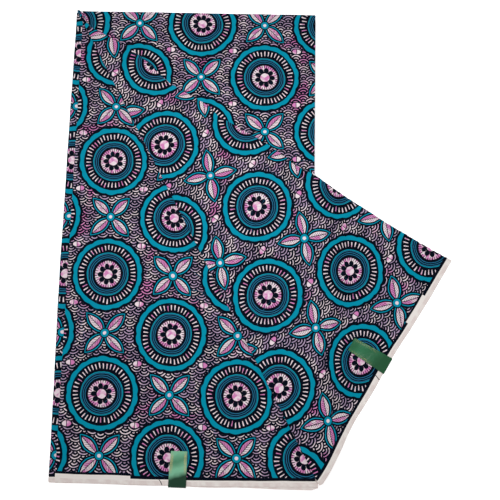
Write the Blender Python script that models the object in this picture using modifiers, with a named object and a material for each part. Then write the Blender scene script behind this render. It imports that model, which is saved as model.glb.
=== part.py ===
"""A length of printed cotton, doubled along its middle and folded to and fro into a flat stack.

The lower left half of the top panel is turned over to the upper right along a diagonal, and its end
falls off the stack and lies on the floor. Metres, +Z up, the underside on z = 0. The plan is worked
out about the middle of the stack, and then moved so that the middle of the whole is at the origin.
"""

import math

import bmesh
import bpy
import numpy as np
from mathutils import Vector

# The cloth
WALL = 0.0012  # a doubled panel: two thicknesses of cloth and the air between them
GAP = 0.0003  # between neighbouring pieces
HALF_WIDTH = 0.600  # from the selvedges to the lengthwise fold, of a cloth 1.2 m wide
HIDDEN_PANELS = 15
PANEL_RISE = 0.00055  # what each pressed hidden panel adds to the stack
TUCK = 0.003  # how far a fold's lower leg runs back under its panel

# Heights of the middle of each panel's wall
LOWER_TOP = (HIDDEN_PANELS - 1) * PANEL_RISE
STACK_TOP = LOWER_TOP + GAP + WALL
THIRD_LEVEL = STACK_TOP - WALL / 2
SECOND_LEVEL = STACK_TOP + GAP + WALL / 2
TOP_LEVEL = SECOND_LEVEL + WALL + GAP
CORNER_LEVEL = TOP_LEVEL + WALL + GAP
FLOOR_LEVEL = WALL / 2

# Radii of the middle of the wall at the folds
SECOND_RADIUS = (SECOND_LEVEL - THIRD_LEVEL) / 2
TOP_RADIUS = (TOP_LEVEL - SECOND_LEVEL) / 2
DIAGONAL_RADIUS = 0.00125

# Corners of the top panel in plan, and the tip of the corner that is turned over
TOP_LEFT = Vector((-0.1565, 0.2995))
TOP_RIGHT = Vector((0.1600, 0.2993))
LOW_RIGHT = Vector((0.1605, -0.3015))
TIP = Vector((0.3335, -0.0270))

# Edges of the folds in plan, from the top of the stack to the bottom
EDGE_Y = (0.300, 0.205, 0.070, -0.030, -0.160, -0.302)
LAYERS_LEFT_X = (-0.1589, -0.1600, -0.1620, -0.1632, -0.1632, -0.1632)
RIGHT_X = (0.1600, 0.1588, 0.1570, 0.1576, 0.1590, 0.1605)

# The second panel lies askew: its low left corner, its turn, its length and its selvedge's sag
SECOND_LOW_LEFT = Vector((-0.1546, -0.2983))
SECOND_TURN = math.radians(-0.55)
SECOND_LENGTH = 0.597
SECOND_SAG = 0.0044
CORNER_LIFT = 0.0028  # how far its low right corner rises again, over the corner's lift run
CORNER_LIFT_RUN = 0.0078
TAB_REACH = 0.0035  # how far that corner runs on under the turned corner
TAB_HEIGHT = 0.0045

# The hidden panels' top and bottom edges
LAYERS_TOP_Y = 0.2985
LAYERS_BOTTOM_Y = -0.3000
LAYER_STRAY = 0.0014  # how far the hidden folds and edges stray from each other
LAYER_WAVE = 0.0003  # how far each of them sways along its length
CORNER_ROUND = 0.003
EDGE_HOLLOW = 0.00035  # how far in the air between two panels shows at the top and bottom edges
FOLD_HOLLOW = 0.00055  # and how far in it shows between two folds at the sides
FOLD_ROUND = 0.00012  # how far in a fold's upper and lower lines lie from its nose
BOW_FADE = 0.05  # how far in from the right-hand fold the top panel follows its bow

# The turned corner: its diagonal fold, and how it falls off the stack
SETTLE = 0.018  # how far from the diagonal fold the doubled cloth has sunk flat
FALL = 0.052  # plan length of the drop from the stack to the floor
DROP = CORNER_LEVEL - FLOOR_LEVEL
FALL_SPENDS = 0.6 * DROP * DROP / FALL  # cloth length that the slope takes up
SIDE_CLEAR = 0.0015  # from the diagonal fold's bend to the nearest point of the ends
END_CLEAR = 0.004  # the rolled fold stops short of its two sharp points: at the top left
LOW_END_CLEAR = 0.0015  # and at the low right

# How far the raw end and the selvedge end dip inside straight lines to the tip
RAW_END = {
    "share": (0.0, 0.05, 0.10, 0.145, 0.18, 0.23, 0.27, 0.37, 0.40, 0.53, 0.60)
    + (0.65, 0.70, 0.75, 0.80, 0.86, 0.89, 0.925, 0.96, 1.0),
    "dip": (0, 0.009, 0.006, 0.003, 0.005, 0.009, 0.014, 0.0105, 0.0145, 0.0098, 0.013)
    + (0.010, 0.0087, 0.0064, 0.0061, 0.0058, 0.0042, 0.0038, 0.0023, 0),
}
SELVEDGE_END = {
    "share": (0.0, 0.10, 0.17, 0.34, 0.38, 0.46, 0.52, 0.59, 0.66, 0.72, 0.79, 0.85, 0.93, 1.0),
    "dip": (0, 0, -0.0006, 0.0001, 0.0009, 0.0013, 0.0009, -0.0002, -0.0001, 0.0005, -0.0001)
    + (-0.0018, -0.0023, -0.0010),
}

# Edge labels: ribbon laid on the cloth and bent down over its edge
LABEL_WALL = 0.001
LABEL_BEND = 0.001
LABEL_LIP = 0.0003
MAIN_LABEL = {"middle": 0.1454, "width": 0.0205, "length": 0.0397, "lean": 0.03, "taper": 0.045}
CORNER_LABEL = {"middle": 0.1585, "width": 0.0198, "length": 0.0522, "lean": 0.03, "taper": 0.12}

# The middle of the whole, which goes to the origin
LEFTMOST_X = -0.16286
LOWEST_Y = -0.3056
MIDDLE = Vector(((LEFTMOST_X + TIP.x) / 2, (TOP_LEFT.y + LOWEST_Y) / 2))

SIDES = ("left", "right", "top", "bottom")
TEAL = (0.0, 0.26, 0.37)
SATIN_GREEN = (0.08, 0.33, 0.17)


def clear_scene():
    for obj in list(bpy.data.objects):
        bpy.data.objects.remove(obj, do_unlink=True)


def new_collection(name):
    collection = bpy.data.collections.new(name)
    bpy.context.scene.collection.children.link(collection)
    return collection


def new_material(name, color, roughness):
    material = bpy.data.materials.new(name)
    material.use_nodes = True
    shader = material.node_tree.nodes["Principled BSDF"]
    shader.inputs["Base Color"].default_value = (*color, 1)
    shader.inputs["Roughness"].default_value = roughness
    shader.inputs["Metallic"].default_value = 0
    return material


def ease(t):
    t = min(max(t, 0.0), 1.0)
    return t * t * (3 - 2 * t)


def on_floor_plan(x, y, z):
    """A point of the stack's plan, moved so that the middle of the whole is at the origin."""
    return Vector((x - MIDDLE.x, y - MIDDLE.y, z))


def right_edge(y):
    return float(np.interp(-y, [-v for v in EDGE_Y], RIGHT_X))


def layers_left_edge(y):
    return float(np.interp(-y, [-v for v in EDGE_Y], LAYERS_LEFT_X))


def fold_nose(radius):
    """How far a fold's outermost line lies past the start of its bend."""
    return radius + WALL / 2


def second_left_edge(y):
    """The outermost line of the second panel's left-hand fold."""
    return SECOND_LOW_LEFT.x - (y - SECOND_LOW_LEFT.y) * math.tan(SECOND_TURN)


def turned_under(run, radius):
    """Run along a cloth that bends down round a fold: the way past the bend's start, and the rise."""
    if run <= 0:
        return run, 0.0
    if run < math.pi * radius:
        turn = run / radius
        return radius * math.sin(turn), -radius * (1 - math.cos(turn))
    return -(run - math.pi * radius), -2 * radius


def roll_lines(radius, steps=8):
    """Runs at which a fold's half turn is scored, from its start to its end."""
    return [math.pi * radius * i / steps for i in range(steps + 1)]


def sheet(name, outline, scores, place, wall, material, collection):
    """A thin sheet: a flat outline scored along lines, each point put in place, then given its wall.

    A score is a point on the line and the line's normal, both in the flat outline's plane."""
    bm = bmesh.new()
    bm.faces.new([bm.verts.new((x, y, 0)) for x, y in outline])
    for (x, y), (nx, ny) in scores:
        bmesh.ops.bisect_plane(
            bm,
            geom=bm.verts[:] + bm.edges[:] + bm.faces[:],
            dist=1e-6,
            plane_co=(x, y, 0),
            plane_no=(nx, ny, 0),
        )
    bmesh.ops.triangulate(bm, faces=bm.faces[:])
    for vert in bm.verts:
        vert.co = place(vert.co.x, vert.co.y)
    mesh = bpy.data.meshes.new(name)
    bm.to_mesh(mesh)
    bm.free()
    mesh.materials.append(material)
    obj = bpy.data.objects.new(name, mesh)
    collection.objects.link(obj)
    solidify = obj.modifiers.new("Wall", "SOLIDIFY")
    solidify.thickness = wall
    solidify.offset = 0


def evenly(first, last, spacing):
    count = max(2, round(abs(last - first) / spacing) + 1)
    return [float(v) for v in np.linspace(first, last, count)]


# The hidden panels


def rounded_rim(width, length):
    """Points round a rectangle from -1 to 1 each way, anticlockwise, its corners rounded."""
    round_x, round_y = 2 * CORNER_ROUND / width, 2 * CORNER_ROUND / length
    corners = ((1, -1), (1, 1), (-1, 1), (-1, -1))
    arcs = []
    for turn, (side_x, side_y) in enumerate(corners):
        middle_x, middle_y = side_x * (1 - round_x), side_y * (1 - round_y)
        angles = [math.pi / 2 * (turn - 1 + step / 3) for step in range(4)]
        arcs.append([(middle_x + round_x * math.cos(a), middle_y + round_y * math.sin(a)) for a in angles])
    points = []
    for turn, arc in enumerate(arcs):
        (x0, y0), (x1, y1) = arc[-1], arcs[(turn + 1) % 4][0]
        count = 11 if turn % 2 == 0 else 6
        points += arc
        points += [(x0 + (x1 - x0) * i / count, y0 + (y1 - y0) * i / count) for i in range(1, count)]
    return points


def stray_tables():
    """How far each hidden fold and edge lies inside the outermost one, for its four sides."""
    chance = np.random.default_rng(17)
    levels = 2 * HIDDEN_PANELS + 1
    strays = {side: chance.uniform(0, LAYER_STRAY, levels) for side in SIDES}
    return {side: table - table.min() for side, table in strays.items()}


def hollow(side, level):
    """How far a line round the stack lies inside the fold noses. Even levels lie between panels.

    On the left each even-numbered gap is inside a fold, on the right each odd-numbered one."""
    if side in ("top", "bottom"):
        return EDGE_HOLLOW if level % 2 == 0 else 0.0
    if level % 2:
        return FOLD_ROUND
    inside_fold = (level // 2) % 2 == (1 if side == "left" else 0)
    return 0.0 if inside_fold else FOLD_HOLLOW


def paired(side, level):
    """The number shared by the levels that belong to one fold, so that they stray together."""
    if side == "left":
        return (level + 1) // 4
    if side == "right":
        return (level + 3) // 4
    return level // 2


def layer_levels():
    """The heights of the rings round the stack, each with whether it belongs to the third panel."""
    levels = [(level * PANEL_RISE / 2, False) for level in range(2 * HIDDEN_PANELS - 1)]
    return levels + [(LOWER_TOP + GAP / 3, True), (THIRD_LEVEL, True), (STACK_TOP, True)]


def layer_point(s, t, inset, level, is_third):
    """A point of a ring in plan, from its place on the rounded rectangle and its four insets."""
    y = LAYERS_BOTTOM_Y + (t + 1) / 2 * (LAYERS_TOP_Y - LAYERS_BOTTOM_Y)
    left = layers_left_edge(y) + inset["left"]
    if is_third:
        left = second_left_edge(y) + fold_nose(SECOND_RADIUS) + TUCK + GAP
    right = right_edge(y) - GAP - inset["right"]
    y += (inset["bottom"] * (1 - t) - inset["top"] * (1 + t)) / 2
    sway = LAYER_WAVE * abs(math.sin(9 * y / HALF_WIDTH * math.pi + level * 0.7))
    return left + (s + 1) / 2 * (right - left) - sway * s, y


def folded_layers(collection, material):
    stray = stray_tables()
    rim = rounded_rim(right_edge(0) - layers_left_edge(0), LAYERS_TOP_Y - LAYERS_BOTTOM_Y)
    bm = bmesh.new()
    rings = []
    for i, (z, is_third) in enumerate(layer_levels()):
        level = i - 1 if is_third else i
        inset = {side: hollow(side, level) + stray[side][paired(side, level)] for side in SIDES}
        plan = [layer_point(s, t, inset, level, is_third) for s, t in rim]
        rings.append([bm.verts.new(on_floor_plan(x, y, z)) for x, y in plan])
    for low, high in zip(rings, rings[1:]):
        for i in range(len(rim)):
            after = (i + 1) % len(rim)
            bm.faces.new((low[i], low[after], high[after], high[i]))
    bm.faces.new(rings[0][::-1])
    bm.faces.new(rings[-1])
    mesh = bpy.data.meshes.new("folded_layers")
    bm.to_mesh(mesh)
    bm.free()
    mesh.materials.append(material)
    mesh.shade_smooth()
    mesh.set_sharp_from_angle(angle=math.radians(50))
    collection.objects.link(bpy.data.objects.new("folded_layers", mesh))


# The second panel, in its own plan: run to the right from its left-hand fold, and up from its edge


def second_place(run, up):
    """A point of the second panel's cloth. Its run is negative round and under its left-hand fold."""
    nose = fold_nose(SECOND_RADIUS)
    past, rise = turned_under(nose - run, SECOND_RADIUS)
    x, y = nose - past, up
    cos, sin = math.cos(SECOND_TURN), math.sin(SECOND_TURN)
    plan = SECOND_LOW_LEFT + Vector((x * cos - y * sin, x * sin + y * cos))
    return on_floor_plan(plan.x, plan.y, SECOND_LEVEL + rise)


def second_right_end(up):
    """How far right the second panel runs at a height, to where the top panel's fold comes under."""
    cos, sin = math.cos(SECOND_TURN), math.sin(SECOND_TURN)
    x = right_edge(SECOND_LOW_LEFT.y + up * cos) - fold_nose(TOP_RADIUS) - TUCK - 2 * GAP
    return (x - SECOND_LOW_LEFT.x + up * sin) / cos


def second_selvedge(run):
    """How far up the second panel's bottom selvedge lies. It sags towards the right, and its last
    corner rises again."""
    sag = -SECOND_SAG * max(run, 0.0) / (LOW_RIGHT.x - SECOND_LOW_LEFT.x)
    lift_start = second_right_end(0.0) + TAB_REACH - CORNER_LIFT_RUN
    return sag + CORNER_LIFT * max(run - lift_start, 0.0) / CORNER_LIFT_RUN


def second_panel(collection, material):
    nose = fold_nose(SECOND_RADIUS)
    tab_end = second_right_end(0.0) + TAB_REACH
    low_end = [(run, second_selvedge(run)) for run in (tab_end - CORNER_LIFT_RUN, tab_end)]
    tab = [(tab_end, TAB_HEIGHT), (second_right_end(TAB_HEIGHT), TAB_HEIGHT)]
    right_end = [(second_right_end(up), up) for up in evenly(0.0, SECOND_LENGTH, 0.08)[1:]]
    start = nose - math.pi * SECOND_RADIUS - TUCK
    outline = [(start, 0.0), *low_end, *tab, *right_end, (start, SECOND_LENGTH)]
    scores = [((nose - run, 0), (1, 0)) for run in roll_lines(SECOND_RADIUS)]
    scores += [((0, up), (0, 1)) for up in evenly(0.06, SECOND_LENGTH - 0.06, 0.06)]
    scores += [((run, 0), (1, 0)) for run in evenly(0.06, 0.26, 0.05)]
    sheet("second_panel", outline, scores, second_place, WALL, material, collection)


# The top panel's flat half


def diagonal():
    """The diagonal fold: its direction from top left to low right, the normal to it, its length."""
    line = LOW_RIGHT - TOP_LEFT
    ahead = line.normalized()
    return ahead, Vector((-ahead.y, ahead.x)), line.length


def top_place(run, y):
    """A point of the top panel's cloth, its run measured from the bend of its right-hand fold.

    Near the fold the cloth follows the stack's edge, and further in it lies square."""
    past, rise = turned_under(run, TOP_RADIUS)
    straight = LOW_RIGHT.x - fold_nose(TOP_RADIUS)
    bow = (right_edge(y) - LOW_RIGHT.x) * ease(1 + run / BOW_FADE)
    return on_floor_plan(straight + bow + past, y, TOP_LEVEL + rise)


def top_panel(collection, material):
    ahead, across, _ = diagonal()
    bend_x = LOW_RIGHT.x - fold_nose(TOP_RADIUS)
    clear_of_corner = fold_nose(DIAGONAL_RADIUS) + TUCK + 5 * GAP
    low = TOP_LEFT + across * clear_of_corner
    top_left = low + ahead * ((TOP_LEFT.y - low.y) / ahead.y)
    last_run = math.pi * TOP_RADIUS + TUCK
    low_right = low + ahead * ((bend_x + last_run - low.x) / ahead.x)
    outline = [
        (top_left.x - bend_x, TOP_LEFT.y),
        (low_right.x - bend_x, low_right.y),
        (last_run, TOP_RIGHT.y),
    ]
    scores = [((0, y), (0, 1)) for y in evenly(low_right.y + 0.03, TOP_RIGHT.y - 0.03, 0.045)]
    scores += [((-run, 0), (1, 0)) for run in evenly(BOW_FADE / 4, 0.25, 0.04)]
    scores += [((run, 0), (1, 0)) for run in roll_lines(TOP_RADIUS)]
    sheet("top_panel", outline, scores, top_place, WALL, material, collection)


# The turned corner, in its own plan: along the diagonal fold, and out from it


def corner_plan(along, out):
    ahead, across, _ = diagonal()
    return TOP_LEFT + ahead * along + across * out


def fallen(x, y):
    """Where cloth that runs out level to x lies once it has dropped off the stack: x, and the fall."""
    start = right_edge(y)
    past = x - start
    if past <= 0:
        return x, 0.0
    reach = max(past - FALL_SPENDS * ease(past / FALL), 0.0)
    return start + reach, DROP * ease(reach / FALL)


def corner_place(along, out, lift=0.0):
    """A point of the turned corner. A negative out runs round the diagonal fold and under it."""
    nose = fold_nose(DIAGONAL_RADIUS)
    crown = TOP_LEVEL + 2 * DIAGONAL_RADIUS
    past, rise = turned_under(nose - out, DIAGONAL_RADIUS)
    level = crown + rise
    if out > nose:
        level = crown + (CORNER_LEVEL - crown) * ease((out - nose) / SETTLE)
    plan = corner_plan(along, nose - past)
    x, fall = fallen(plan.x, plan.y)
    return on_floor_plan(x, plan.y, level - fall + lift)


def in_corner_plan(point):
    ahead, across, _ = diagonal()
    offset = point - TOP_LEFT
    return offset.dot(ahead), offset.dot(across)


def level_tip():
    """The tip in the turned corner's plan, as far out as it would reach with no drop to spend on."""
    return in_corner_plan(TIP + Vector((FALL_SPENDS, 0)))


def dipped_side(first, last, table, least_out=-math.inf):
    """Points along a side of the turned corner, dipped inside the straight line by the table."""
    first, last = Vector(first), Vector(last)
    along = (last - first).normalized()
    inward = Vector((along.y, -along.x))
    points = []
    for share, dip in zip(table["share"], table["dip"]):
        point = first.lerp(last, share) + inward * dip
        points.append((point.x, max(point.y, least_out)))
    return points


def folded_corner(collection, material):
    ahead, across, length = diagonal()
    nose = fold_nose(DIAGONAL_RADIUS)
    under = nose - math.pi * DIAGONAL_RADIUS - TUCK
    least = nose + SIDE_CLEAR
    tip = level_tip()
    raw = dipped_side((0.0, 0.0), tip, RAW_END, least)
    selvedge = dipped_side(tip, (length, 0.0), SELVEDGE_END)
    start, end = END_CLEAR, length - LOW_END_CLEAR
    end_reach = float(np.interp(end, [p[0] for p in selvedge], [p[1] for p in selvedge]))
    outline = [(start, under), (end, under), (end, end_reach)]
    outline += [p for p in reversed(selvedge) if p[0] < end]
    outline += [p for p in reversed(raw) if start + END_CLEAR < p[0] < tip[0]]
    outline.append((start, least))
    scores = [((0, nose - run), (0, 1)) for run in roll_lines(DIAGONAL_RADIUS)]
    scores += [((0, nose + SETTLE * share), (0, 1)) for share in (0.2, 0.4, 0.6, 0.8, 1.0)]
    scores += [((0, out), (0, 1)) for out in evenly(0.06, 0.26, 0.05)]
    scores += [((along, 0), (1, 0)) for along in evenly(0.05, length - 0.05, 0.05)]
    for share in np.linspace(0, 1, 13):
        x = min(RIGHT_X) + (FALL + max(RIGHT_X) - min(RIGHT_X)) * share
        scores.append((in_corner_plan(Vector((x, 0))), (ahead.x, across.x)))
    sheet("folded_corner", outline, scores, corner_place, WALL, material, collection)


# Edge labels


def label(name, sizes, place, material, collection):
    """A ribbon label: a leg laid on the cloth, and a lip bent down over the cloth's edge.

    place gives a point from its way along the edge, its way out past it and its drop below the leg."""
    level_reach = GAP + LABEL_WALL / 2 - LABEL_BEND
    bend = math.pi / 2 * LABEL_BEND
    half = sizes["width"] / 2
    far, end = -sizes["length"], bend + LABEL_LIP

    def placed(run, side):
        turn = min(max(run / LABEL_BEND, 0.0), math.pi / 2)
        past = level_reach + min(run, 0.0) + LABEL_BEND * math.sin(turn)
        down = LABEL_BEND * (1 - math.cos(turn)) + max(run - bend, 0.0)
        inner = min(past, 0.0)
        widening = 1 + sizes["taper"] * (1 + 2 * inner / sizes["length"])
        return place(sizes["middle"] + side * widening - inner * sizes["lean"], past, down)

    outline = [(far, -half), (end, -half), (end, half), (far, half)]
    scores = [((bend * i / 4, 0), (1, 0)) for i in range(5)]
    scores += [((far * share, 0), (1, 0)) for share in (0.12, 0.25, 0.4, 0.55, 0.7, 0.85)]
    sheet(name, outline, scores, placed, LABEL_WALL, material, collection)


def main_label_place(side, past, down):
    """On the second panel, over its bottom selvedges."""
    spot = second_place(side, second_selvedge(side) - past)
    spot.z += WALL / 2 + GAP + LABEL_WALL / 2 - down
    return spot


def corner_label_place(side, past, down):
    """On the turned corner, over its selvedges, measured along them from the tip."""
    _, _, length = diagonal()
    tip = Vector(level_tip())
    end = Vector((length, 0.0))
    along = (end - tip).normalized()
    outward = Vector((-along.y, along.x))
    share = side / (end - tip).length
    dip = float(np.interp(share, SELVEDGE_END["share"], SELVEDGE_END["dip"]))
    spot = tip + along * side + outward * (past - dip)
    return corner_place(spot.x, spot.y, WALL / 2 + GAP + LABEL_WALL / 2 - down)


def main():
    clear_scene()
    parts = new_collection("wax_print_fabric")
    folded_layers(parts, new_material("layers_cotton", TEAL, 0.6))
    second_panel(parts, new_material("second_cotton", TEAL, 0.6))
    top_panel(parts, new_material("top_cotton", TEAL, 0.6))
    folded_corner(parts, new_material("corner_cotton", TEAL, 0.6))
    main_satin = new_material("main_satin", SATIN_GREEN, 0.35)
    label("edge_label_main", MAIN_LABEL, main_label_place, main_satin, parts)
    corner_satin = new_material("corner_satin", SATIN_GREEN, 0.35)
    label("edge_label_corner", CORNER_LABEL, corner_label_place, corner_satin, parts)


main()
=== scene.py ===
"""A length of wax print cotton, doubled, folded into a flat stack, with one corner turned over.

Metres, +Z up, with the surface that the cloth lies on at z = 0. Plans are worked out about the middle
of the stack, and each point is moved to the middle of the whole outline when its mesh is made.
"""

import math
from collections import namedtuple
from functools import partialmethod

import bpy
import numpy as np
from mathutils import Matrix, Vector


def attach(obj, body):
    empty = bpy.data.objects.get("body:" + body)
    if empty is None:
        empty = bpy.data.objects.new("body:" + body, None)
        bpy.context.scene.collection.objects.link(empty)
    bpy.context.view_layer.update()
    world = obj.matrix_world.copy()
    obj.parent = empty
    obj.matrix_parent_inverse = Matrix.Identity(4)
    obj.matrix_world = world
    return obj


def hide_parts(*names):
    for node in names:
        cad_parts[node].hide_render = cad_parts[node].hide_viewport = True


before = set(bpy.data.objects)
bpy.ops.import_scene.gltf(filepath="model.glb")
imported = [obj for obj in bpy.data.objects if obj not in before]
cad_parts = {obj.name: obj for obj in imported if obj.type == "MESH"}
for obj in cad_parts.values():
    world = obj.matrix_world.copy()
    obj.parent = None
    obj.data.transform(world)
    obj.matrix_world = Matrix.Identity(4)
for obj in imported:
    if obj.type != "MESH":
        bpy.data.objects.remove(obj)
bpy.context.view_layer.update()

# The cloth
CLOTH = 0.00026  # one thickness
WALL = 0.0012  # a doubled panel that shows, with the air in it
GAP = 0.0003  # between neighbouring pieces
HALF_WIDTH = 0.600  # from a selvedge to the lengthwise fold
PANEL_WIDTH = 0.3157  # from the raw end to the first fold, and from fold to fold
HIDDEN_PANELS = 15
PANEL_RISE = 0.00055  # what each pressed hidden panel adds to the stack
TUCK = 0.003  # how far a fold's lower leg runs back under its panel
PRESSED = 0.000138  # from the middle of a pressed panel to the middle of each thickness
LOOSE = (WALL - CLOTH) / 2  # the same in a panel that shows

# Heights of the middles of the panels
LOWER_TOP = (HIDDEN_PANELS - 1) * PANEL_RISE
STACK_TOP = LOWER_TOP + GAP + WALL
THIRD_LEVEL = STACK_TOP - WALL / 2
SECOND_LEVEL = STACK_TOP + GAP + WALL / 2
TOP_LEVEL = SECOND_LEVEL + WALL + GAP
CORNER_LEVEL = TOP_LEVEL + WALL + GAP
FLOOR_LEVEL = WALL / 2
SECOND_RADIUS = (SECOND_LEVEL - THIRD_LEVEL) / 2
TOP_RADIUS = (TOP_LEVEL - SECOND_LEVEL) / 2
DIAGONAL_RADIUS = 0.00125

# The plan, about the middle of the stack
MIDDLE = np.array((0.08532, -0.00305))
TOP_LEFT = np.array((-0.1565, 0.2995))
TOP_RIGHT = np.array((0.1600, 0.2993))
LOW_RIGHT = np.array((0.1605, -0.3015))
TIP = np.array((0.3335, -0.0270))
EDGE_Y = (0.300, 0.205, 0.070, -0.030, -0.160, -0.302)
LAYERS_LEFT_X = (-0.1589, -0.1600, -0.1620, -0.1632, -0.1632, -0.1632)
RIGHT_X = (0.1600, 0.1588, 0.1570, 0.1576, 0.1590, 0.1605)
LAYERS_TOP_Y = 0.3006
LAYERS_BOTTOM_Y = -0.3000
LAYER_STRAY = 0.0014  # how far the hidden folds and edges stray from each other
CUT_INSET = 0.0022  # from the stack's right side to the lowest panel's raw end
BOW_FADE = 0.05  # how far in from the right-hand fold the top panel follows its bow
LIE_HEIGHT = 0.00035  # of the soft ups and downs of the stack's top

# The second panel
SECOND_LOW_LEFT = np.array((-0.1546, -0.2983))
SECOND_TURN = math.radians(-0.55)
SECOND_COS, SECOND_SIN = math.cos(SECOND_TURN), math.sin(SECOND_TURN)
SECOND_LENGTH = 0.597
SECOND_SAG = 0.0044
CORNER_LIFT = 0.0028  # how far its low right corner rises again, over the corner's lift run
CORNER_LIFT_RUN = 0.0078
TAB_REACH = 0.0035  # how far that corner runs on under the turned corner
TAB_HEIGHT = 0.0045
UPPER_LIFT = 0.0036  # how much less the upper of its two selvedges sags
UPPER_LIFT_RUN = (0.110, 0.315)  # where that starts and ends
LOWER_SHOWS = 0.0009  # how far the lower one shows past it

# The turned corner
SETTLE = 0.018  # how far from the diagonal fold the doubled cloth has sunk flat
FALL = 0.052  # plan length of the drop from the stack to the floor
DROP = CORNER_LEVEL - FLOOR_LEVEL
FALL_SPENDS = 0.6 * DROP * DROP / FALL  # cloth length that the slope takes up
SIDE_CLEAR = 0.0015  # from the diagonal fold's bend to the nearest point of the ends
END_CLEAR = 0.0004  # the rolled fold stops short of its two sharp points: at the top left
LOW_END_CLEAR = 0.0015  # and at the low right
START_SLANT_RUN = 0.03  # how far on the slant of its first end, level with the stack's top, fades out
CORNER_SELVEDGE_SHOWS = 0.0011  # how far the lower of its two selvedges shows
RAW_END = {
    "share": (0.0, 0.05, 0.10, 0.145, 0.18, 0.23, 0.27, 0.37, 0.40, 0.53, 0.60)
    + (0.65, 0.70, 0.75, 0.80, 0.86, 0.89, 0.925, 0.96, 1.0),
    "dip": (0, 0.009, 0.006, 0.003, 0.005, 0.009, 0.014, 0.0105, 0.0145, 0.0098, 0.013)
    + (0.010, 0.0087, 0.0064, 0.0061, 0.0058, 0.0042, 0.0038, 0.0023, 0),
}
SELVEDGE_END = {
    "share": (0.0, 0.10, 0.17, 0.34, 0.38, 0.46, 0.52, 0.59, 0.66, 0.72, 0.79, 0.85, 0.93, 1.0),
    "dip": (0, 0, -0.0006, 0.0001, 0.0009, 0.0013, 0.0009, -0.0002, -0.0001, 0.0005, -0.0001)
    + (-0.0018, -0.0023, -0.0010),
}

# The diagonal fold, and the turned corner's own plan: along that fold, and out from it
DIAGONAL_LENGTH = float(np.linalg.norm(LOW_RIGHT - TOP_LEFT))
AHEAD = (LOW_RIGHT - TOP_LEFT) / DIAGONAL_LENGTH
ACROSS = np.array((-AHEAD[1], AHEAD[0]))
WAY_TO_TIP = TIP + np.array((FALL_SPENDS, 0.0)) - TOP_LEFT
LEVEL_TIP = np.array((WAY_TO_TIP @ AHEAD, WAY_TO_TIP @ ACROSS))  # before the corner falls
LOW_END = np.array((DIAGONAL_LENGTH, 0.0))

# Creases in plan: where each starts and ends, how high it stands, and how wide it is
Crease = namedtuple("Crease", "x0 y0 x1 y1 height width bow")
SECOND_CREASES = (
    Crease(-0.158, 0.078, -0.050, 0.030, 0.0006, 0.010, 0.006),
    Crease(-0.158, -0.104, 0.030, -0.152, 0.0009, 0.013, -0.010),
    Crease(-0.112, -0.300, -0.094, -0.196, 0.0006, 0.008, 0.004),
    Crease(0.070, -0.306, 0.048, -0.214, 0.0008, 0.009, -0.005),
    Crease(-0.150, -0.212, -0.070, -0.236, -0.0002, 0.009, 0.003),
    Crease(-0.158, 0.190, -0.118, 0.168, 0.0004, 0.007, 0.002),
)
TOP_CREASES = (
    Crease(0.162, 0.214, 0.020, 0.240, 0.0008, 0.011, 0.006),
    Crease(0.004, 0.302, 0.040, 0.188, 0.0006, 0.009, -0.005),
    Crease(0.162, 0.104, 0.096, 0.122, 0.0006, 0.008, 0.003),
    Crease(0.104, 0.302, 0.118, 0.226, -0.00018, 0.009, 0.003),
)
CORNER_CREASES = (
    Crease(-0.100, 0.236, 0.046, -0.014, 0.0007, 0.012, 0.010),
    Crease(0.322, -0.036, 0.120, 0.012, 0.0010, 0.014, -0.012),
    Crease(0.118, 0.096, 0.052, -0.070, 0.0008, 0.012, 0.009),
    Crease(0.252, -0.140, 0.132, -0.104, 0.0010, 0.012, 0.007),
    Crease(0.204, 0.046, 0.176, -0.070, 0.0012, 0.013, -0.006),
    Crease(-0.030, 0.186, 0.010, 0.074, -0.00018, 0.010, 0.005),
    Crease(0.168, -0.270, 0.112, -0.196, 0.0007, 0.010, 0.004),
)

# How edges and folds sway: each one's seed, how far it goes, and its wavelengths
Sway = namedtuple("Sway", "seed amount wavelengths")
HIDDEN_FOLD_SEED = 100
HIDDEN_CUT = Sway(77, 0.0003, (0.012, 0.05, 0.2))
HIDDEN_SELVEDGES = Sway(55, 0.00025, (0.09, 0.31))
SECOND_SELVEDGES = Sway(12, 0.0002, (0.06, 0.13))
SECOND_LOWER_SELVEDGE = Sway(13, 0.0003, (0.08, 0.2))
SECOND_TOP_FOLD = Sway(14, 0.00015, (0.05, 0.16))
TOP_TOP_FOLD = Sway(24, 0.00015, (0.05, 0.16))
CORNER_CUT = Sway(5, 0.00035, (0.006, 0.017, 0.045))
CORNER_LOWER_CUT = Sway(6, 0.0005, (0.03, 0.08))

# Edge labels, along the selvedge and in from it
LABEL_CLOTH = 0.0003
MAIN_LABEL = {"middle": 0.1454, "width": 0.0205, "length": 0.0397, "lean": 0.03, "taper": 0.045}
CORNER_LABEL = {"middle": 0.1585, "width": 0.0198, "length": 0.0522, "lean": 0.03, "taper": 0.12}
MAIN_CURL = 0.0024
CORNER_CURL = 0.0009
LABEL_ARCH = 0.0011  # how far a label's middle stands off the cloth
LABEL_TILT = 0.0003  # how much further one of its long edges does

# How finely the cloth is made
END_STEPS = (1, 2.4, 5)  # extra lines near an end, in steps of the closest one
ROLL_STEPS = 10
PANEL_ROWS, PANEL_ROW_CLEAR = 82, 0.004
PANEL_LINES, PANEL_LINE_CLEAR = 150, 0.0015
CORNER_ROWS, CORNER_ROW_CLEAR = 76, 0.006


def ease(t):
    t = np.clip(t, 0.0, 1.0)
    return t * t * (3 - 2 * t)


def ease_in(value, start, end):
    """From 0 at the start, slowly at first, to 1 at the end."""
    return np.clip((value - start) / (end - start), 0.0, 1.0) ** 2


def stacked(*parts):
    """Arrays side by side along a new last axis."""
    return np.stack(np.broadcast_arrays(*parts), axis=-1)


def right_edge(y):
    return np.interp(-y, [-v for v in EDGE_Y], RIGHT_X)


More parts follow.
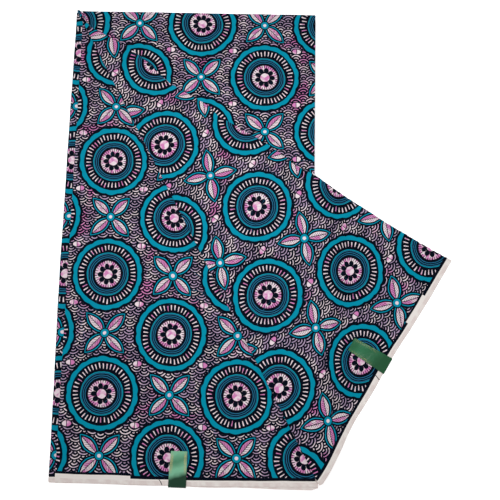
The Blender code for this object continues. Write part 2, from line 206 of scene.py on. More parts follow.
def layers_left_edge(y):
    return np.interp(-y, [-v for v in EDGE_Y], LAYERS_LEFT_X)


def second_left_edge(y):
    return SECOND_LOW_LEFT[0] - (y - SECOND_LOW_LEFT[1]) * math.tan(SECOND_TURN)


def fold_nose(radius):
    return radius + WALL / 2


def creased(x, y, creases):
    """Heights of soft ridges and troughs, each fading out towards its ends."""
    height = np.zeros(np.broadcast(x, y).shape)
    for c in creases:
        start, end = np.array((c.x0, c.y0)), np.array((c.x1, c.y1))
        length = np.linalg.norm(end - start)
        ahead = (end - start) / length
        along = ((x - c.x0) * ahead[0] + (y - c.y0) * ahead[1]) / length
        aside = (y - c.y0) * ahead[0] - (x - c.x0) * ahead[1]
        aside = aside - c.bow * np.sin(math.pi * np.clip(along, 0, 1))
        fade = ease(along / 0.22 + 0.35) * ease((1 - along) / 0.45)
        width = c.width * (0.7 + 0.5 * np.clip(along, 0, 1))
        height += c.height * fade * np.exp(-((aside / width * 1.6) ** 2))
    return height


def lie(x, y):
    """Soft ups and downs of the stack's top, never below its plain height."""
    swell = np.sin(23 * x + 9 * y + 0.4) * 0.5 + np.sin(17 * y - 14 * x + 2.0) * 0.3
    return LIE_HEIGHT * (0.9 + swell + 0.2 * np.sin(41 * y + 33 * x))


def second_rise(x, y):
    return lie(x, y) + creased(x, y, SECOND_CREASES)


def top_rise(x, y):
    return second_rise(x, y) + creased(x, y, TOP_CREASES)


def wander(seed, amount, wavelengths):
    """A function that sways gently along a line, from its own seed."""
    chance = np.random.default_rng(seed)
    waves = []
    for wavelength in wavelengths:
        height = amount * chance.uniform(0.4, 1)
        length = wavelength * chance.uniform(0.8, 1.2)
        waves.append((height, length, chance.uniform(0, 6)))

    def sway(place):
        return sum(height * np.sin(2 * math.pi * place / length + start) for height, length, start in waves)

    return sway


# Places along a fold


def turned_under(run, radius):
    """Run along a cloth that bends down round a fold: the way past the bend's start, and the rise."""
    bend = math.pi * radius
    turn = np.clip(run / radius, 0, math.pi)
    past = np.where(run < 0, run, np.where(run < bend, radius * np.sin(turn), bend - run))
    return past, -radius * (1 - np.cos(turn))


def fold_normals(runs, radius, side):
    """Upward normals of a cloth round its fold, which is on the right for side 1, on the left for -1."""
    angle = np.clip(runs / radius, 0, math.pi)
    return stacked(side * np.sin(angle), np.cos(angle))


def near_ends(count, closest, first=True, last=True):
    """Shares from 0 to 1, evenly spaced but for extra ones close to the ends."""
    shares = set(np.linspace(0, 1, count))
    for step in END_STEPS:
        if first:
            shares.add(closest * step)
        if last:
            shares.add(1 - closest * step)
    return np.array(sorted(shares))


def fold_then_flat(radius, count, closest, last=True):
    """Runs round a fold, from the end of its tuck back to its bend's start, then shares of the flat part."""
    bend = math.pi * radius
    fold = [bend + TUCK, bend + TUCK / 2, *(bend * np.linspace(1, 0, ROLL_STEPS + 1))]
    flat = near_ends(count, closest, last=last)[1:]
    return np.append(fold, np.zeros(len(flat))), np.append(np.zeros(len(fold)), flat)


def cross_section(shares, nose_steps=8):
    """Round a doubled panel from the selvedge of its outer half, over its lengthwise fold, to the inner.

    For each line: how far up from the selvedge it lies, which side of the panel's middle it is on, from
    1 on the outer side to -1, and how far it bulges past the start of the fold."""
    turns = np.linspace(0, math.pi, nose_steps + 1)[1:-1]
    up = np.concatenate([shares, np.ones(len(turns)), shares[::-1]])
    side = np.concatenate([np.ones(len(shares)), np.cos(turns), -np.ones(len(shares))])
    bulge = np.concatenate([np.zeros(len(shares)), np.sin(turns), np.zeros(len(shares))])
    return up, side, bulge


def doubled(x_of, level, normal, gap, low_outer, low_inner, top, section):
    """Middle points of the cloth of a doubled panel that runs along a path of folds."""
    up, side, bulge = section
    columns = (np.reshape(value, (-1, 1)) for value in (level, gap, low_outer, low_inner, top))
    level, gap, low_outer, low_inner, top = columns
    low = np.where(side >= 0, low_outer, low_inner)
    y = low + up * (top - gap - low) + gap * bulge
    x = x_of(y) + normal[:, 0, None] * gap * side
    z = level + normal[:, 1, None] * gap * side
    return stacked(x, y, z)


def run_lengths(points):
    """Lengths from the first point along a line of points."""
    steps = np.linalg.norm(np.diff(points, axis=0), axis=1)
    return np.concatenate([[0.0], np.cumsum(steps)])


def spread(lengths, weights):
    """Places from 0 to 1 along a line, in which each stretch takes room by its weight."""
    room = np.diff(lengths) * (weights[1:] + weights[:-1]) / 2
    places = np.concatenate([[0.0], np.cumsum(room)])
    return places / places[-1]


def spread_section(points, side):
    """Places round a doubled panel, with most room for its outer half and its fold, little for the inner."""
    weights = np.where(side > 0.5, 1.0, np.where(side > -0.5, 4.0, 0.06))
    return spread(run_lengths(points), weights)


# Meshes

Sheet = namedtuple("Sheet", "points cloth across down span")
WHOLE_IMAGE = (0, 1)
BAKE_MARGIN = 0.004
OUTER_STRIP, INNER_STRIP, RIM_STRIP = (0.004, 0.91), (0.925, 0.975), (0.985, 0.995)
SHARP_ANGLE = math.radians(50)


def grid_normals(points):
    normals = np.cross(np.gradient(points, axis=0), np.gradient(points, axis=1))
    return normals / np.linalg.norm(normals, axis=-1, keepdims=True)


def sheet_faces(rows, columns, first, second):
    """Quads of a grid's outer side and rim. The points of the two sides start at first and second."""
    index = np.arange(rows * columns).reshape(rows, columns)
    a, b, c, d = index[:-1, :-1], index[1:, :-1], index[1:, 1:], index[:-1, 1:]
    outer = stacked(a, b, c, d).reshape(-1, 4)
    rim = np.concatenate([index[:, 0], index[-1, 1:], index[-2::-1, -1], index[0, -2::-1]])
    start, end = rim[:-1], rim[1:]
    rim_quads = stacked(end + first, start + first, start + second, end + second)
    return outer, rim_quads


def linked(name, data):
    obj = bpy.data.objects.new(name, data)
    bpy.context.scene.collection.objects.link(obj)
    return obj


def new_object(name, points, quads, uvs, material):
    points[:, :2] -= MIDDLE
    mesh = bpy.data.meshes.new(name)
    mesh.from_pydata(points.tolist(), [], quads.tolist())
    for layer_name, uv in uvs.items():
        layer = mesh.uv_layers.new(name=layer_name)
        layer.uv.foreach_set("vector", uv.astype(np.float32).ravel())
    mesh.materials.append(material)
    mesh.shade_smooth()
    mesh.set_sharp_from_angle(angle=SHARP_ANGLE)
    return linked(name, mesh)


def strip_ends(span, strip):
    """Where a strip starts and ends across the image, in the span of it that a sheet has."""
    left, right = span
    return [left + share * (right - left) for share in strip]


def place_down(share):
    return BAKE_MARGIN + share * (1 - 2 * BAKE_MARGIN)


def sheet_sides(sheet, thickness):
    """Points of a sheet's outer and inner side."""
    offset = grid_normals(sheet.points) * thickness / 2
    return [(sheet.points + offset).reshape(-1, 3), (sheet.points - offset).reshape(-1, 3)]


def sheet_skin(sheet, first):
    """Quads of both sides and the rim, each with its corners on the flat cloth and on the image."""
    rows, columns = sheet.points.shape[:2]
    second = first + rows * columns
    outer, rim = sheet_faces(rows, columns, first, second)
    cloth = sheet.cloth.reshape(-1, 2)
    across = np.broadcast_to(sheet.across.reshape(rows, -1), (rows, columns)).ravel()
    down = np.broadcast_to(sheet.down, (rows, columns)).ravel()
    for face, start, strip in ((outer, first, OUTER_STRIP), (outer[:, ::-1], second, INNER_STRIP)):
        low, high = strip_ends(sheet.span, strip)
        image = stacked(low + across[face] * (high - low), place_down(down[face]))
        yield face + start, cloth[face].reshape(-1, 2), image.reshape(-1, 2)
    edge = np.concatenate([rim[:, :2] - first, rim[:, 2:] - second], axis=1)
    place = place_down(np.arange(len(rim) + 1) / len(rim))
    low, high = strip_ends(sheet.span, RIM_STRIP)
    u = np.tile([low, low, high, high], len(rim))
    v = stacked(place[1:], place[:-1], place[:-1], place[1:]).ravel()
    yield rim, cloth[edge].reshape(-1, 2), stacked(u, v)


def shell(name, sheets, material, thickness=CLOTH):
    """One object of thin closed sheets, each with its places on the flat cloth and on a baked image."""
    points, skins = [], []
    for sheet in sheets:
        skins += sheet_skin(sheet, sum(len(side) for side in points))
        points += sheet_sides(sheet, thickness)
    quads, cloth_uv, bake_uv = (np.concatenate(parts) for parts in zip(*skins))
    uvs = {"cloth": cloth_uv, "OFBake": bake_uv}
    return new_object(name, np.concatenate(points), quads, uvs, material)


def one_sheet(name, points, cloth, across, down, material):
    return shell(name, [Sheet(points, cloth, across, down, WHOLE_IMAGE)], material)


# The hidden panels

Turn = namedtuple("Turn", "line side radius level")
Row = namedtuple("Row", "panel share sway level normal_x normal_z gap turning")
HIDDEN_SEED = 23
EDGE_SEED = 31


def hidden_fold(number, side, reach):
    """The line in which a hidden fold starts to bend, as a function of y."""
    sway = wander(HIDDEN_FOLD_SEED + number, 0.00022, (0.075, 0.21))

    def line(y):
        edge = right_edge(y) - GAP if side > 0 else layers_left_edge(y)
        return edge - side * reach + sway(y)

    return line


def hidden_edges():
    """The lines where the hidden cloth starts, turns and ends, as functions of y, with their turns."""
    chance = np.random.default_rng(HIDDEN_SEED)
    levels = [THIRD_LEVEL] + [LOWER_TOP - PANEL_RISE * (k - 0.5) for k in range(1, HIDDEN_PANELS)]
    cut = wander(*HIDDEN_CUT)

    def start(y):
        return second_left_edge(y) + fold_nose(SECOND_RADIUS) + TUCK + GAP

    def end(y):
        return right_edge(y) - CUT_INSET + cut(y)

    edges = [Turn(start, 0, 0.0, levels[0])]
    for k, (upper, lower) in enumerate(zip(levels[:-1], levels[1:])):
        side = 1 if k % 2 == 0 else -1
        radius = (upper - lower) / 2
        reach = radius + (LOOSE if k == 0 else PRESSED) + CLOTH / 2 + chance.uniform(0, LAYER_STRAY)
        edges.append(Turn(hidden_fold(k, side, reach), side, radius, (upper + lower) / 2))
    edges.append(Turn(end, 0, 0.0, levels[-1]))
    return edges, levels


def hidden_rows(edges, levels):
    """Rows of points across the cloth: some on each panel, and some round the fold that follows it."""
    shares = near_ends(6, 0.006)
    turns = np.linspace(0, math.pi, 8)[1:-1]
    rows = []
    for k, level in enumerate(levels):
        gap = LOOSE if k == 0 else PRESSED
        up = 1 if k % 2 == 0 else -1
        rows += [Row(k, share, 0.0, level, 0.0, up, gap, 0) for share in shares]
        if k == HIDDEN_PANELS - 1:
            break
        turn = edges[k + 1]
        for angle in turns:
            near = ease(1 - angle / math.pi) if k == 0 else 0
            gap = PRESSED + (LOOSE - PRESSED) * near
            sway = turn.side * turn.radius * math.sin(angle)
            level = turn.level + turn.radius * math.cos(angle)
            rows.append(Row(k, 1.0, sway, level, math.sin(angle), up * math.cos(angle), gap, 1))
    return Row(*(np.array(column) for column in zip(*rows)))


def hidden_layers(material):
    """Panels 3 to 17: one doubled cloth that runs to and fro down the stack."""
    edges, levels = hidden_edges()
    rows = hidden_rows(edges, levels)

    def x_of(y):
        lines = []
        for k, share, sway, y_row in zip(rows.panel, rows.share, rows.sway, y):
            lines.append((1 - share) * edges[k].line(y_row) + share * edges[k + 1].line(y_row) + sway)
        return np.array(lines)

    place = rows.panel + rows.share
    knots = np.arange(HIDDEN_PANELS + 1)
    strays = np.random.default_rng(EDGE_SEED).uniform(0, LAYER_STRAY, (3, HIDDEN_PANELS + 1))
    low_a = LAYERS_BOTTOM_Y + np.interp(place, knots, strays[0])
    low_a += wander(*HIDDEN_SELVEDGES)(place * PANEL_WIDTH)
    low_b = low_a + np.interp(place, knots, strays[1]) - LAYER_STRAY / 2
    top = LAYERS_TOP_Y - CLOTH / 2 - np.interp(place, knots, strays[2])
    section = cross_section(near_ends(44, 0.003), nose_steps=7)
    normal = stacked(rows.normal_x, rows.normal_z)
    points = doubled(x_of, rows.level, normal, rows.gap, low_a, low_b, top, section)
    depth = np.clip(points[..., 2] / STACK_TOP, 0, 1)
    points[..., 2] += lie(points[..., 0], points[..., 1]) * depth**1.5
    up, side, _ = section
    lengths = run_lengths(points[:, len(up) // 4])
    v = np.where(side >= 0, up, 2 - up) * HALF_WIDTH
    cloth = stacked(2 * PANEL_WIDTH + lengths[:, None], v)
    near_edge = np.exp(-np.minimum(rows.share, 1 - rows.share) * PANEL_WIDTH / 0.006)
    across = spread(lengths, 0.03 + 3 * np.maximum(near_edge, rows.turning))
    down = spread(run_lengths(points[0]), 0.15 + 3 * np.exp(-np.minimum(up, 1 - up) / 0.02))
    return one_sheet("hidden_layers", points, cloth, across, down, material)


# The second panel, in its own plan: run to the right from its left-hand fold, and up from its edge


def second_plan(run, up):
    x = SECOND_LOW_LEFT[0] + run * SECOND_COS - up * SECOND_SIN
    return x, SECOND_LOW_LEFT[1] + run * SECOND_SIN + up * SECOND_COS


def second_right_end(up):
    edge = right_edge(SECOND_LOW_LEFT[1] + up * SECOND_COS)
    x = edge - fold_nose(TOP_RADIUS) - TUCK - 2 * GAP
    return (x - SECOND_LOW_LEFT[0] + up * SECOND_SIN) / SECOND_COS


def second_sag(run):
    """How far up the selvedge would lie if it only sagged towards the right."""
    return -SECOND_SAG * np.maximum(run, 0.0) / (LOW_RIGHT[0] - SECOND_LOW_LEFT[0])


def second_selvedge(run):
    """How far up the selvedge lies. It sags towards the right, and its last corner rises again."""
    lift_start = second_right_end(0.0) + TAB_REACH - CORNER_LIFT_RUN
    return second_sag(run) + CORNER_LIFT * np.maximum(run - lift_start, 0.0) / CORNER_LIFT_RUN


def second_panel(material):
    nose = fold_nose(SECOND_RADIUS)
    runs, shares = fold_then_flat(SECOND_RADIUS, PANEL_ROWS, PANEL_ROW_CLEAR)
    past, rise = turned_under(runs, SECOND_RADIUS)

    def x_of(up):
        end = second_right_end(up) + TAB_REACH * ease(2 - 2 * up / TAB_HEIGHT)
        return nose - past[:, None] + shares[:, None] * (end - nose)

    widest = x_of(np.zeros((len(runs), 1)))[:, 0]
    ripple = wander(*SECOND_SELVEDGES)(widest)
    lower = second_selvedge(widest) + ripple - LOWER_SHOWS + wander(*SECOND_LOWER_SELVEDGE)(widest)
    upper = second_sag(widest) + ripple + UPPER_LIFT * ease_in(widest, *UPPER_LIFT_RUN)
    top = SECOND_LENGTH - CLOTH / 2 + wander(*SECOND_TOP_FOLD)(widest)
    section = cross_section(near_ends(PANEL_LINES, PANEL_LINE_CLEAR))
    normal = fold_normals(runs, SECOND_RADIUS, -1)
    points = doubled(x_of, SECOND_LEVEL + rise, normal, LOOSE, upper, lower, top, section)
    along = run_lengths(points[:, 0, [0, 2]])
    points[..., 0], points[..., 1] = second_plan(points[..., 0], points[..., 1])
    points[..., 2] += second_rise(points[..., 0], points[..., 1])
    up, side, _ = section
    u = 2 * PANEL_WIDTH - (along - along[shares == 0][-1])
    v = np.where(side >= 0, 2 - up, up) * HALF_WIDTH
    cloth = stacked(u[:, None], v)
    across = spread(along, np.where(shares > 0, 1.0, 4.0))
    down = spread_section(points[-1], side)
    return one_sheet("second_panel_cloth", points, cloth, across, down, material)


# The top panel's flat half


def top_panel(material):
    low = TOP_LEFT + ACROSS * (fold_nose(DIAGONAL_RADIUS) + TUCK + 3 * GAP)
    bend_x = LOW_RIGHT[0] - fold_nose(TOP_RADIUS)
    least_width = 0.002
    low_y = low[1] + (bend_x - least_width - low[0]) * AHEAD[1] / AHEAD[0]
    runs, shares = fold_then_flat(TOP_RADIUS, PANEL_ROWS, PANEL_ROW_CLEAR, last=False)
    runs, shares = runs[::-1], 1 - shares[::-1]
    past, rise = turned_under(runs, TOP_RADIUS)

    def x_of(y):
        start = low[0] + (y - low[1]) * AHEAD[0] / AHEAD[1]
        flat = start + shares[:, None] * (bend_x - start)
        bow = (right_edge(y) - LOW_RIGHT[0]) * ease(1 + (flat - bend_x) / BOW_FADE)
        return flat + bow + past[:, None]

    level_runs = TOP_LEFT[0] + shares * (bend_x - TOP_LEFT[0]) + runs
    top = np.interp(level_runs, (TOP_LEFT[0], TOP_RIGHT[0]), (TOP_LEFT[1], TOP_RIGHT[1])) - CLOTH / 2
    top = top + wander(*TOP_TOP_FOLD)(level_runs)
    section = cross_section(near_ends(PANEL_LINES, PANEL_LINE_CLEAR, first=False))
    normal = fold_normals(runs, TOP_RADIUS, 1)
    points = doubled(x_of, TOP_LEVEL + rise, normal, LOOSE, low_y, low_y, top, section)
    up, side, _ = section
    points[..., 2] += top_rise(points[..., 0], points[..., 1])
    u = x_of(points[..., 1]) - past[:, None] + runs[:, None] - TOP_LEFT[0]
    share_up = (points[..., 1] - LOW_RIGHT[1]) / (TOP_RIGHT[1] - LOW_RIGHT[1])
    v = np.where(side >= 0, share_up, 2 - share_up) * HALF_WIDTH
    near_top = points[:, len(up) // 2 - 5]
    across = spread(run_lengths(near_top[:, [0, 2]]), np.where(runs > 0, 4.0, 1.0))
    down = spread_section(points[0], side)
    return one_sheet("top_panel_cloth", points, stacked(u, v), across, down, material)


# The turned corner


def corner_plan(along, out):
    x = TOP_LEFT[0] + AHEAD[0] * along + ACROSS[0] * out
    return x, TOP_LEFT[1] + AHEAD[1] * along + ACROSS[1] * out


def dipped_side(first, last, table):
    """Points along a side of the turned corner, dipped inside the straight line by the table."""
    along = (last - first) / np.linalg.norm(last - first)
    inward = np.array((along[1], -along[0]))
    shares = np.array(table["share"])[:, None]
    return first + (last - first) * shares + inward * np.array(table["dip"])[:, None]


def fallen(x, y):
    """Where cloth that runs out level to x lies once it has dropped off the stack: x, and the fall."""
    start = right_edge(y)
    past = x - start
    reach = np.maximum(past - FALL_SPENDS * ease(past / FALL), 0.0)
    return np.where(past <= 0, x, start + reach), np.where(past <= 0, 0.0, DROP * ease(reach / FALL))


def corner_mid(along, out):
    """Middle points of the turned corner's doubled cloth."""
    nose = fold_nose(DIAGONAL_RADIUS)
    crown = TOP_LEVEL + 2 * DIAGONAL_RADIUS
    past, rise = turned_under(nose - out, DIAGONAL_RADIUS)
    level = crown + rise + (CORNER_LEVEL - crown) * ease((out - nose) / SETTLE)
    x_plan, y = corner_plan(along, nose - past)
    x, fall = fallen(x_plan, y)
    held = ease(1 - (x - right_edge(y)) / (FALL * 0.6))
    unevenness = top_rise(x, y) * held + creased(x, y, CORNER_CREASES)
    return stacked(x, y, level - fall + unevenness)


def corner_reach(alongs):
    """How far out the turned corner reaches from the diagonal fold, and how far a straight one would."""
    raw = dipped_side(np.zeros(2), LEVEL_TIP, RAW_END)
    selvedge = dipped_side(LEVEL_TIP, LOW_END, SELVEDGE_END)
    line = np.concatenate([raw, selvedge[1:]])
    reach = np.interp(alongs, line[:, 0], line[:, 1])
    straight = np.interp(alongs, (0, LEVEL_TIP[0], DIAGONAL_LENGTH), (0, LEVEL_TIP[1], 0))
    return reach, straight


def corner_cloth_place(along, out):
    """The place on the flat cloth, from the three corners of the turned triangle."""
    fold_end = np.array((0.0, HALF_WIDTH))
    by_along = np.array((PANEL_WIDTH, HALF_WIDTH)) / DIAGONAL_LENGTH
    by_out = (fold_end - LEVEL_TIP[0] * by_along) / LEVEL_TIP[1]
    return fold_end + along[..., None] * by_along + out[..., None] * by_out


def corner_shift(alongs, side):
    """How much further out than the corner's plain outline an outer or an inner half ends."""
    raw_part = ease((LEVEL_TIP[0] - alongs) / 0.01)
    if side > 0:
        return wander(*CORNER_CUT)(alongs) * (alongs <= LEVEL_TIP[0]) * raw_part
    selvedge_part = ease((alongs - LEVEL_TIP[0]) / 0.01) * ease((DIAGONAL_LENGTH - alongs) / 0.03)
    return wander(*CORNER_LOWER_CUT)(alongs) * raw_part + CORNER_SELVEDGE_SHOWS * selvedge_part


def folded_corner(material):
    nose = fold_nose(DIAGONAL_RADIUS)
    before_tip = np.linspace(END_CLEAR, LEVEL_TIP[0], 150)
    after_tip = np.linspace(LEVEL_TIP[0], DIAGONAL_LENGTH - LOW_END_CLEAR, 42)[1:]
    alongs = np.concatenate([before_tip, after_tip])
    runs, shares = fold_then_flat(DIAGONAL_RADIUS, CORNER_ROWS, CORNER_ROW_CLEAR)
    starts = nose - runs
    reach, straight = corner_reach(alongs)
    slant = -ACROSS[1] / AHEAD[1] * ease(1 - alongs / START_SLANT_RUN)
    down = (alongs - alongs[0]) / (alongs[-1] - alongs[0])
    across = spread(starts + shares * LEVEL_TIP[1], np.where(shares > 0, 1.0, 3.0))
    sheets = []
    for side, span in ((1, (0.0, 0.86)), (-1, (0.86, 1.0))):
        ends = np.maximum(reach + corner_shift(alongs, side), nose + SIDE_CLEAR)
        out = starts + shares * (ends[:, None] - nose)
        past, _ = turned_under(nose - out, DIAGONAL_RADIUS)
        along = alongs[:, None] + slant[:, None] * (nose - past)
        mid = corner_mid(along, out)
        points = mid + grid_normals(mid) * LOOSE * side
        scale = np.where(alongs > LEVEL_TIP[0], straight / np.maximum(ends, 1e-4), 1.0)
        cloth = corner_cloth_place(along, np.where(out > 0, out * scale[:, None], out))
        if side < 0:
            cloth[..., 1] = 2 * HALF_WIDTH - cloth[..., 1]
        points, cloth = (grid.transpose(1, 0, 2)[:, ::-1] for grid in (points, cloth))
        sheets.append(Sheet(points, cloth, across, down[::-1], span))
    return shell("folded_corner_cloth", sheets, material)


# Edge labels


def ribbon(name, sizes, curl, place, material):
    """A ribbon label that lies on the cloth, arches a little, and curls down past its edge.

    place gives a point on the cloth's top from its way along the edge and its way out past it."""
    half = sizes["width"] / 2
    flat = np.linspace(-sizes["length"], GAP, 34)
    turns = np.linspace(0, 0.5 * math.pi, 9)[1:]
    past = np.concatenate([flat, GAP + curl * np.sin(turns)])
    fall = np.concatenate([np.zeros(len(flat)), curl * (1 - np.cos(turns))])
    run = np.concatenate([flat, GAP + curl * turns])
    side = np.linspace(-half, half, 15)
    side_grid, past_grid = np.meshgrid(side, past)
    share = np.clip(1 + past_grid / sizes["length"], 0, 1)
    arch = LABEL_ARCH * np.sin(math.pi * share**1.5) + LABEL_TILT * share * (1 + side_grid / half)
    inner = np.minimum(past_grid, 0.0)
    widening = 1 + sizes["taper"] * (1 + 2 * inner / sizes["length"])
    points = place(sizes["middle"] + side_grid * widening - inner * sizes["lean"], past_grid)
    points[..., 2] += GAP / 2 + LABEL_CLOTH / 2 + arch - fall[:, None]
    points[..., 2] = np.maximum(points[..., 2], LABEL_CLOTH)
    cloth = stacked(*np.meshgrid(side, run))
    across = (run - run[0]) / (run[-1] - run[0])
    down = (side - side[0]) / (side[-1] - side[0])
    if np.cross(points[1, 0] - points[0, 0], points[0, 1] - points[0, 0])[2] < 0:
        points, cloth, down = points[:, ::-1], cloth[:, ::-1], down[::-1]
    return shell(name, [Sheet(points, cloth, across, down, WHOLE_IMAGE)], material, LABEL_CLOTH)


def main_label_place(side, past):
    """On the second panel, over its bottom selvedges."""
    x, y = second_plan(side, second_selvedge(side) - past)
    inner_x, inner_y = second_plan(side, second_selvedge(side) - np.minimum(past, 0.0))
    return stacked(x, y, SECOND_LEVEL + WALL / 2 + second_rise(inner_x, inner_y))


def corner_label_place(side, past):
    """On the turned corner, over its selvedges, measured along them from the tip."""
    length = np.linalg.norm(LOW_END - LEVEL_TIP)
    along = (LOW_END - LEVEL_TIP) / length
    outward = np.array((-along[1], along[0]))
    dip = np.interp(side / length, SELVEDGE_END["share"], SELVEDGE_END["dip"])
    spot = LEVEL_TIP + along * side[..., None] + outward * (past - dip)[..., None]
    points = corner_mid(spot[..., 0], spot[..., 1])
    points[..., 2] += WALL / 2
    return points


# Loose threads

THREAD_SIDES, THREAD_RINGS = 4, 5
THREAD_RADII = (0.00007, 0.00011)
THREAD_TAPER = 0.55


def threads(name, roots, ways, lengths, cloth, material, seed):
    """Short bent threads. Each root has its way out, its length and its place on the flat cloth."""
    chance = np.random.default_rng(seed)
    angles = 2 * math.pi * np.arange(THREAD_SIDES) / THREAD_SIDES
    index = np.arange(THREAD_SIDES * THREAD_RINGS).reshape(THREAD_RINGS, THREAD_SIDES)
    after = np.roll(index, -1, axis=1)
    walls = stacked(index[:-1], index[1:], after[1:], after[:-1]).reshape(-1, 4)
    thread_quads = np.concatenate([walls, [index[0], index[-1, ::-1]]])
    points, quads, uvs = [], [], []
    for root, way, length, place in zip(roots, ways, lengths, cloth):
        aside = np.cross(way, (0, 0, 1))
        radius = chance.uniform(*THREAD_RADII)
        bend, droop = chance.normal(0, 0.35) * length, chance.uniform(-0.1, 0.25) * length
        ring = np.outer(np.cos(angles), aside) + np.outer(np.sin(angles), (0, 0, 1))
        quads.append(thread_quads + len(points) * THREAD_SIDES)
        for t in np.linspace(0, 1, THREAD_RINGS):
            centre = root + way * length * t + aside * bend * t * t
            centre[2] = max(centre[2] - droop * t * t, radius)
            points.append(centre + radius * (1 - THREAD_TAPER * t) * ring)
        uvs.append(np.tile(place, (thread_quads.size, 1)))
    uvs = {"cloth": np.concatenate(uvs)}
    return new_object(name, np.concatenate(points), np.concatenate(quads), uvs, material)


def corner_threads(material):
    """Frayed ends along the raw edge of the turned corner."""
    chance = np.random.default_rng(41)
    alongs = np.sort(chance.uniform(0.03, LEVEL_TIP[0] - 0.004, 150))
    reach, _ = corner_reach(alongs)
    side = chance.choice((-1, 1), len(alongs))
    out = reach - 0.0006
    roots = corner_mid(alongs, out)
    x, y, z = (corner_mid(alongs, out + 0.001) - roots).T
    spin = chance.normal(0.15, 0.45, len(alongs))
    cos, sin = np.cos(spin), np.sin(spin)
    ways = stacked(x * cos - y * sin, x * sin + y * cos, z)
    ways /= np.linalg.norm(ways, axis=1, keepdims=True)
    roots[:, 2] += side * LOOSE
    lengths = chance.gamma(2.2, 0.0007, len(alongs)) + 0.0008
    cloth = corner_cloth_place(alongs, out)
    return threads("raw_end_threads", roots, ways, lengths, cloth, material, 43)


def lowest_threads(material):
    """Frayed ends along the raw edge of the lowest panel, on the stack's right side."""
    chance = np.random.default_rng(47)
    y = np.sort(chance.uniform(-0.285, 0.285, 80))
    roots = stacked(right_edge(y) - 0.0030, y, PRESSED * chance.choice((1, 3), len(y)))
    spin = chance.normal(0, 0.4, len(y))
    ways = stacked(np.cos(spin), np.sin(spin), np.zeros(len(y)))
    lengths = chance.gamma(2.2, 0.0006, len(y)) + 0.0012
    cloth = stacked(np.full(len(y), (HIDDEN_PANELS + 2) * PANEL_WIDTH), y - LAYERS_BOTTOM_Y)
    return threads("lowest_end_threads", roots, ways, lengths, cloth, material, 53)


# Colours of the print and the labels, as seen in daylight


def daylight(red, green, blue):
    """A colour given in 0 to 255 as a screen shows it, in linear light."""
    shares = np.array((red, green, blue)) / 255
    return (*np.where(shares <= 0.04045, shares / 12.92, ((shares + 0.055) / 1.055) ** 2.4), 1.0)


NAVY = daylight(2, 9, 23)
TEAL = daylight(0, 138, 165)
LIGHT_TEAL = daylight(10, 146, 170)
LINE_BLUE = daylight(36, 110, 146)
PINK = daylight(206, 126, 180)
PALE = daylight(231, 214, 221)
MAUVE = daylight(178, 154, 184)
SELVEDGE_PALE = daylight(236, 229, 224)
SELVEDGE_BEIGE = daylight(224, 211, 207)
# The labels' satin greens hold painted light: a lighter green as a painted highlight, a middle green as
# painted half light, and dark greens as painted shade where the ribbon curls over the edge; the corner
# label's are dimmer
SATIN_PAINTED_HIGHLIGHT = daylight(118, 184, 148)
SATIN_PAINTED_HALF_LIGHT = daylight(46, 116, 78)
SATIN_PAINTED_SHADE = daylight(8, 56, 34)
SATIN_PAINTED_DIM_HIGHLIGHT = daylight(34, 98, 62)
SATIN_CORNER_PAINTED_SHADE = daylight(22, 80, 46)
GOLD = daylight(196, 176, 118)
FADED = (0.62, 0.6, 0.62, 1.0)
WHITE = (1.0, 1.0, 1.0, 1.0)
PAPER = (0.97, 0.97, 0.97, 1.0)
PAPER_SHADE = (0.95, 0.95, 0.955, 1.0)


# Values and colours worked out by nodes


class Field:
    """A number at each place on a surface, worked out by nodes and joined up by plain arithmetic."""

    def __init__(self, board, socket):
        self.board = board
        self.socket = socket

    def math(self, operation, *others):
        return self.board.field("Math", dict(enumerate((self, *others))), operation=operation)

    __add__ = partialmethod(math, "ADD")
    __sub__ = partialmethod(math, "SUBTRACT")
    __mul__ = partialmethod(math, "MULTIPLY")
    __truediv__ = partialmethod(math, "DIVIDE")
    size = partialmethod(math, "ABSOLUTE")
    least = partialmethod(math, "MINIMUM")
    most = partialmethod(math, "MAXIMUM")
    floor = partialmethod(math, "FLOOR")

    def wrapped(self, period):
        """The way from the nearest multiple of the period, from minus to plus half of it."""
        return self.math("WRAP", period / 2, -period / 2)

    def under(self, limit, soft=0.25):
        """1 where the value lies under the limit, with a soft edge."""
        inputs = {"Value": self - limit, "From Min": soft / 2, "From Max": -soft / 2}
        return self.board.field("MapRange", inputs, "Result")

    def within(self, low, high, soft=0.25):
        """1 where the value lies from low to high."""
        return (self - (low + high) / 2).size().under((high - low) / 2, soft)

    def swapped(self, other, choice):
        """This value where the choice is 0, and the other where it is 1."""
        return self.board.field("Mix", {0: choice, 2: self, 3: other})

    def random(self):
        """A number from 0 to 1 that stays the same wherever this value does."""
        return self.board.field("TexWhiteNoise", {"W": self}, "Value", noise_dimensions="1D")


